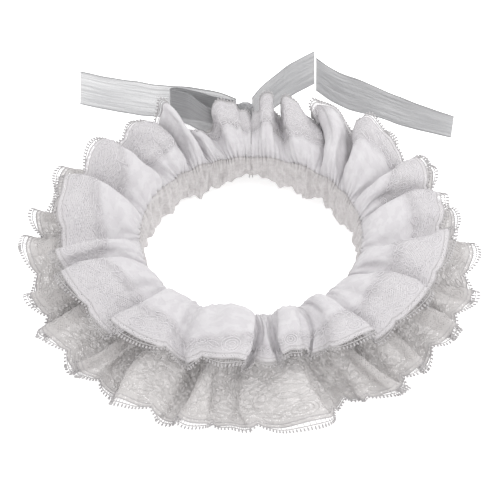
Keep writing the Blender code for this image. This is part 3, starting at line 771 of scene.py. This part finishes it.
def cloth_shell(tier, name, end, material):
    """The smooth cloth of a tier, from the neck out to this share, as a thin shell."""
    shares = np.concatenate([np.linspace(0, 0.3, 11)[:-1], np.linspace(0.3, end, 17)])
    t, q = np.meshgrid(strip_columns(tier), shares)
    points, _ = on_frill(tier, t, q)
    cloth = flat_cloth(tier, t, q)
    piece = mesh_object(name, points.reshape(-1, 3), grid_faces(*t.shape), material, cloth.reshape(-1, 2))
    make_thin(piece)
    return piece


def crescent_gap(t, count):
    """How open the crescent is at t: 0 between scallops and 1 in the middle of one."""
    from_middle = np.abs((SCALLOPS_PER_FLUTE * t + 0.5) % 1 - 0.5)
    gap = np.sqrt(np.clip(1 - (from_middle / (CRESCENT_SHARE / 2)) ** 2, 0, 1))
    whole = (t < UNCUT_END) | (t > count - UNCUT_END)
    return np.where(whole, 0.0, gap)


def lace_sheet(tier, name, start, material):
    """The net of a tier, from this share out to its picots, with the crescents open."""
    width, count = tier["width"], flute_count(tier)
    outer = 1 - PICOT_BAND / width
    widest = CRESCENT / width
    inside = np.linspace(start, outer - widest, 24)
    shares = np.concatenate([inside, [outer]])
    t, q = np.meshgrid(strip_columns(tier), shares)
    gap = crescent_gap(t, count)
    # Where a crescent is narrow, the rows inside it move out to its outer side
    reach = np.clip((q - (outer - 4 * widest)) / (3 * widest), 0, 1)
    q = np.where(q < outer - widest / 2, q + reach * widest * (1 - gap), q)
    points, _ = on_frill(tier, t, q, tier["net_lift"])
    cloth = flat_cloth(tier, t, q)
    keep = np.ones((len(shares) - 1, t.shape[1] - 1), bool)
    keep[-1] = np.maximum(gap[0, 1:], gap[0, :-1]) < CLOSED_GAP
    density = np.clip((q - lace_start(tier, t) + 0.02) / LACE_FADE, 0, 1)
    shown = density > 0
    keep &= shown[1:, 1:] | shown[:-1, :-1] | shown[1:, :-1] | shown[:-1, 1:]
    faces = grid_faces(*t.shape, keep=keep)
    used = np.unique(faces)
    piece = mesh_object(name, points.reshape(-1, 3), faces, material, cloth.reshape(-1, 2))
    attribute = piece.data.attributes.new("lace", "FLOAT", "POINT")
    attribute.data.foreach_set("value", density.reshape(-1)[used].astype(np.float32))
    return piece


def edge_cords(tier):
    """Cords along the scallops, each a run of threads(). Those inside the crescents follow them."""
    t = strip_columns(tier)
    for inward, half_wide, high in zip(*tier["cords"].values()):
        q = np.full_like(t, 1 - inward / tier["width"])
        if inward > PICOT_BAND + 1:
            followed = 1 if inward < 6 else 0.4
            q = q + CRESCENT / tier["width"] * (1 - crescent_gap(t, flute_count(tier))) * followed
        points, normals = on_frill(tier, t, q, tier["edge_lift"])
        yield points[None], normals[None], half_wide, high, False


def crescent_bars(tier):
    """Short bars across each crescent, from the lace to the cord at the picots."""
    count = flute_count(tier)
    middle = (np.arange(SCALLOPS_PER_FLUTE * count + 1)) / SCALLOPS_PER_FLUTE
    spread = BAR_PITCH * np.arange(-BARS // 2 + 1, BARS // 2 + 1) / flute_long(tier)
    t = (middle[:, None] + spread[None, :]).ravel()
    gap = crescent_gap(t, count)
    t, gap = t[gap > BAR_LEAST_GAP], gap[gap > BAR_LEAST_GAP]
    outer = 1 - PICOT_BAND / tier["width"]
    across = np.linspace(-0.1, 1.1, 4)[None, :]
    q = outer - across * gap[:, None] * CRESCENT / tier["width"]
    points, normals = on_frill(tier, np.broadcast_to(t[:, None], q.shape), q, tier["edge_lift"])
    yield points, normals, BAR_HALF, BAR_HALF, False


def picots(tier):
    """Short picots across the rim, evenly along it as it lies."""
    count = flute_count(tier)
    fine = np.linspace(0, count, count * RIM_STEPS_PER_FLUTE + 1)
    rim, _ = on_frill(tier, fine, np.ones_like(fine), tier["edge_lift"])
    run = np.concatenate([[0.0], np.cumsum(np.linalg.norm(np.diff(rim, axis=0), axis=1))]) / MM
    middle = np.interp(np.arange(0.5, run[-1] / PICOT_PITCH) * PICOT_PITCH, run, fine)
    out = np.linspace(0, 1, len(PICOT_HALF_WIDE))
    q = 1 - PICOT_SHARE * PICOT_BAND * (1 - out)[None, :] / tier["width"] + 0 * middle[:, None]
    points, normals = on_frill(tier, np.broadcast_to(middle[:, None], q.shape), q, tier["edge_lift"])
    yield points, normals, PICOT_HALF_WIDE, PICOT_HALF_HIGH, False


def edge_runs(tier):
    """Everything raised along a tier's rim."""
    return [*edge_cords(tier), *picots(tier), *crescent_bars(tier)]


def chart_run(tier, across, inward, half_wide, closed=True):
    """One raised line of the motifs, in each scallop where the lace shows all of it."""
    count = flute_count(tier)
    middle = np.arange(1, SCALLOPS_PER_FLUTE * count) / SCALLOPS_PER_FLUTE
    t = middle[:, None] + across[None, :] / flute_long(tier)
    q = np.broadcast_to(1 - inward[None, :] / tier["width"], t.shape)
    shown = (q > lace_start(tier, t)).all(axis=1)
    points, normals = on_frill(tier, t[shown], q[shown], tier["motif_lift"])
    return points, normals, half_wide, MOTIF_HEIGHT, closed


def leaf_outline(across, inward, turn, long, wide, steps=12):
    """A leaf's outline, narrow at both ends."""
    around = 2 * math.pi * np.arange(steps) / steps
    along = -long / 2 * np.cos(around)
    half = wide / 2 * np.sin(around) * np.abs(np.sin(around)) ** 0.4
    x = across + along * math.cos(turn) - half * math.sin(turn)
    y = inward + along * math.sin(turn) + half * math.cos(turn)
    return x, y


def motifs(tier):
    """Leaves, rings, flowers and stems of every scallop, as runs of threads()."""
    for across, inward, turn, long, wide in zip(*LEAVES.values()):
        x, y = leaf_outline(across, inward, math.radians(turn), long, wide * LEAF_FULLNESS)
        yield chart_run(tier, x, y, OUTLINE_HALF_WIDE)
    around = np.linspace(0, 2 * math.pi, 15)[:-1]
    for across, inward, radius in zip(*RINGS.values()):
        x, y = across + radius * np.cos(around), inward + radius * np.sin(around)
        yield chart_run(tier, x, y, RING_HALF_WIDE)
    for across, inward, petals, long in zip(*FLOWERS.values()):
        for k in range(int(petals)):
            turn = 2 * math.pi * k / petals + 0.4
            from_middle = PETAL_FROM + long / 2
            x, y = leaf_outline(
                across + from_middle * math.cos(turn), inward + from_middle * math.sin(turn), turn, long,
                PETAL_WIDE, 8,
            )
            yield chart_run(tier, x, y, OUTLINE_HALF_WIDE)
    along = np.linspace(0, 1, 9)
    for x0, y0, x1, y1, bow in zip(*STEMS.values()):
        length = math.hypot(x1 - x0, y1 - y0)
        sway = bow * np.sin(math.pi * along)
        x = x0 + (x1 - x0) * along + sway * (y1 - y0) / length
        y = y0 + (y1 - y0) * along - sway * (x1 - x0) / length
        yield chart_run(tier, x, y, STEM_HALF_WIDE, closed=False)


def raised_lines(tier, name, thread, edge_thread):
    """The edge and the motifs of a tier, as two pieces."""
    slot = name + "_lace"
    edge = threads(name + "_edge", edge_runs(tier), THREAD_SIDES, edge_thread)
    raised = threads(name + "_motifs", motifs(tier), THREAD_SIDES, thread)
    return finish_piece(edge, slot), finish_piece(raised, slot)


def build_upper(cloth, net, thread, edge_thread):
    """Upper tier: smooth cloth under lace that reaches past it."""
    shell = finish_piece(cloth_shell(UPPER, "upper_cloth", CLOTH_SHARE, cloth), "upper_lace", "upper_frill")
    lace = finish_piece(lace_sheet(UPPER, "upper_net", 0.2, net), "upper_lace")
    edge, raised = raised_lines(UPPER, "upper", thread, edge_thread)


def build_lower(net, thread, edge_thread):
    """Lower tier: lace alone."""
    lace = finish_piece(lace_sheet(LOWER, "lower_net", 0.0, net), "lower_lace", "lower_frill")
    edge, raised = raised_lines(LOWER, "lower", thread, edge_thread)


def build_stand(cloth):
    """Stand inside the neck: from the upper tier's seam down to its frayed foot, drawn up in soft puckers."""
    t, down = np.meshgrid(np.linspace(0, flute_count(UPPER), STAND_COLUMNS), np.linspace(0, 1, 17))
    seam, _ = on_frill(UPPER, t, np.zeros_like(t), -0.3)
    seam = seam / MM - NECK_CENTRE / MM
    turn = np.arctan2(seam[..., 1], seam[..., 0])
    turn = math.pi / 2 + (turn - math.pi / 2) % (2 * math.pi)
    along = turn * STAND_RADIUS
    inward = down * STAND_WIDTH
    fine = np.sin(along / 0.62 + 2.0 * np.sin(along / 7.0) + inward / 6.0) * (0.42 - 0.2 * down)
    puckers = np.sin(along / 1.35 + 2.1 * np.sin(along / 11.0) + 1.2 * np.sin(inward / 3.6 + along / 17.0))
    bulges = np.sin(along / 2.7 + 1.7 * np.sin(along / 23.0) - inward / 5.0)
    bulges = bulges * np.sin(inward / 3.1 + along / 9.0)
    flare = 1.2 * down**2 * np.sin(along / 3.9 + 1.2 * np.sin(along / 21.0))
    radius = STAND_RADIUS - 0.6 + fine + 0.8 * puckers + 1.0 * bulges + flare
    foot = STAND_FOOT + sum(size * np.sin(waves * turn) for waves, size in STAND_RAGGED)
    foot = foot + 0.9 * np.sin(along / 1.9 + 1.1) + 0.6 * np.sin(along / 0.9) + 0.8 * np.sin(along / 4.7)
    from_ends = np.degrees(np.minimum(turn - math.pi / 2, 5 * math.pi / 2 - turn))
    foot = foot + STAND_RAISED * np.exp(-((from_ends / STAND_RAISED_DEG) ** 2))
    z = STAND_TOP - STAND_DROP + (foot - STAND_TOP) * down
    wall = np.stack([radius * np.cos(turn), radius * np.sin(turn), z], axis=-1)
    joined = np.clip(down / STAND_JOIN, 0, 1)[..., None]
    joined = joined**2 * (3 - 2 * joined)
    points = (seam * (1 - joined) + wall * joined) * MM + NECK_CENTRE
    flat = np.stack([t / flute_count(UPPER) * STAND_LENGTH, inward], axis=-1) * MM
    faces = grid_faces(*turn.shape)[:, ::-1]
    piece = mesh_object("stand_cloth", points.reshape(-1, 3), faces, cloth, flat.reshape(-1, 2))
    make_thin(piece)
    finish_piece(piece, "stand_cloth", "neck_stand")


def ribbon_surface(route, along, up):
    """Points of a ribbon on edge: along is a share of its route, up is millimetres over its lower edge."""
    stops = np.concatenate([[0.0], np.cumsum(np.hypot(np.diff(route["x"]), np.diff(route["y"])))])
    at = along * stops[-1]
    x, y, low, lean = (smooth(stops, route[key], at) for key in ("x", "y", "low", "lean_deg"))
    lean = np.radians(lean)
    sway = 0.25 * np.sin(at / 6.0 + up / 9.0) + 0.15 * np.sin(at / 2.7 - up / 5.0)
    sway = sway * np.sin(math.pi * along)
    points = np.stack([x, y + up * np.sin(lean) + sway, low + up * np.cos(lean)], axis=-1)
    return points * MM + NECK_CENTRE, stops[-1]


def build_ribbon(name, route, material, selvedge):
    """One stretch of a tie, with its closed edges as cords."""
    start = ROOT_START if "root" in name else 0.0
    line = np.linspace(start, 1, RIBBON_STEPS)
    along, up = np.meshgrid(line, np.linspace(0, RIBBON_WIDTH, 10))
    points, length = ribbon_surface(route, along, up)
    flat = np.stack([along * length, up], axis=-1) * MM
    piece = mesh_object(
        name.replace("ribbon", "tie"), points.reshape(-1, 3), grid_faces(*along.shape), material,
        flat.reshape(-1, 2),
    )
    finish_piece(piece, "organza", name)
    runs = []
    for at in (SELVEDGE_IN, RIBBON_WIDTH - SELVEDGE_IN):
        edge_points, _ = ribbon_surface(route, line, np.full(RIBBON_STEPS, at))
        ahead = np.gradient(edge_points, axis=0)
        facing = np.cross(ahead, np.array([0.0, 0.0, 1.0]))
        facing /= np.maximum(np.linalg.norm(facing, axis=-1, keepdims=True), 1e-12)
        runs.append((edge_points[None], facing[None], SELVEDGE_HALF_WIDE, SELVEDGE_HALF_HIGH, False))
    edges = finish_piece(threads(name.replace("ribbon", "selvedge"), runs, THREAD_SIDES, selvedge), "organza")


def build_knot(material):
    """The knot: a soft block of wrapped ribbon, drawn in at its middle, with its turns as ridges."""
    turn, rise = np.meshgrid(np.linspace(0, 2 * math.pi, 49), np.linspace(-1, 1, 25))
    profile = np.sqrt(np.clip(1 - rise**4, 0, 1))
    pinch = 1 - KNOT_PINCH * np.cos(math.pi * rise / 2)
    wraps = 1 + 0.035 * np.sin(9 * turn + 4.0 * rise) + 0.05 * np.sin(7.5 * rise + 1.4 * np.sin(turn))
    reach = 0.5 * profile * pinch * wraps
    points = np.stack([
        KNOT_CENTRE[0] + reach * KNOT_SIZE[0] * np.cos(turn),
        KNOT_CENTRE[1] + reach * KNOT_SIZE[1] * np.sin(turn),
        KNOT_CENTRE[2] + rise * KNOT_SIZE[2] / 2,
    ], axis=-1) * MM + NECK_CENTRE
    flat = np.stack([turn * 6, (rise + 1) * 9], axis=-1) * MM
    faces = grid_faces(*turn.shape)[:, ::-1]
    piece = mesh_object("tie_knot", points.reshape(-1, 3), faces, material, flat.reshape(-1, 2))
    finish_piece(piece, "organza", "ribbon_knot")


def build_stage():
    """Pale floor, soft light from above and the right, and a bright world."""
    bpy.ops.mesh.primitive_plane_add(size=FLOOR_SIZE, location=(0, 0, -FLOOR_DROP))
    floor = bpy.context.object
    floor.name = "floor"
    floor.data.materials.append(floor_material())
    light = bpy.data.lights.new("overhead", "AREA")
    light.energy = LAMP_POWER
    light.shape = "DISK"
    light.size = LAMP_SIZE
    lamp = bpy.data.objects.new("overhead", light)
    lamp.location = LAMP_PLACE
    aim = Vector(LAMP_AIM) - lamp.location
    lamp.rotation_euler = aim.to_track_quat("-Z", "Y").to_euler()
    bpy.context.scene.collection.objects.link(lamp)
    world = bpy.data.worlds.new("soft_world")
    world.use_nodes = True
    sky = world.node_tree.nodes["Background"]
    sky.inputs[0].default_value = (1.0, 1.0, 1.0, 1.0)
    sky.inputs[1].default_value = WORLD_STRENGTH
    bpy.context.scene.world = world
    bpy.context.scene.view_settings.view_transform = "Standard"


def build_camera():
    """The photograph's angle: from the front, 46 degrees above the floor."""
    rise = math.radians(CAMERA_RISE_DEG)
    aim = NECK_CENTRE + np.array(CAMERA_AIM) * MM
    seen = PIXELS / PIXELS_PER_MM * MM
    data = bpy.data.cameras.new("camera")
    data.sensor_width = 36.0
    data.lens = data.sensor_width * CAMERA_AWAY / seen
    data.clip_start = 0.05
    camera = bpy.data.objects.new("camera", data)
    camera.location = aim + CAMERA_AWAY * np.array([0.0, -math.cos(rise), math.sin(rise)])
    camera.rotation_euler = (math.pi / 2 - rise, 0.0, 0.0)
    bpy.context.scene.collection.objects.link(camera)
    bpy.context.scene.camera = camera


def main():
    """Materials, pieces, light and camera."""
    bpy.context.scene.cycles.transparent_max_bounces = 32
    upper_thread = thread_material("upper_thread", (0.68, 0.66, 0.68))
    lower_thread = thread_material("lower_thread", (0.56, 0.54, 0.535))
    edge_thread = thread_material("edge_thread", (0.45, 0.435, 0.44))
    cloth = smooth_cloth()
    net = net_lace("upper_net", (0.68, 0.66, 0.675), (0.60, 0.58, 0.595), 0.4)
    build_upper(cloth, net, upper_thread, edge_thread)
    net = net_lace("lower_net", (0.59, 0.565, 0.56), (0.55, 0.53, 0.525), 1.0)
    build_lower(net, lower_thread, edge_thread)
    build_stand(gathered_cloth())
    single = organza("organza_single", 0.74, (0.27, 0.27, 0.28), (0.42, 0.42, 0.43))
    # Organza for the loop, the right tie and the knot. Its higher cover stands for two layers of ribbon, and
    # its darker tone is painted shade.
    two_layers_and_shade = organza("organza_two_layers_and_shade", 0.94, (0.26, 0.26, 0.27), (0.33, 0.33, 0.34))
    selvedge = thread_material("selvedge", (0.3, 0.3, 0.31))
    sheer = ("ribbon_left", "ribbon_root_left", "ribbon_root_right")
    for name, route in TIES.items():
        build_ribbon(name, route, single if name in sheer else two_layers_and_shade, selvedge)
    build_knot(two_layers_and_shade)
    build_stage()
    build_camera()


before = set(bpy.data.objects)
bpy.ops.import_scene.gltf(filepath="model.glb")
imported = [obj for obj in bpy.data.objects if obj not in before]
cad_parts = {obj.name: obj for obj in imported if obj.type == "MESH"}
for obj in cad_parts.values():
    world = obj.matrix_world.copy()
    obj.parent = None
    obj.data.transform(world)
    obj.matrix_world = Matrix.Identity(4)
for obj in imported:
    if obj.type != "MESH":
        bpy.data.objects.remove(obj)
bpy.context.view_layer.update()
main()
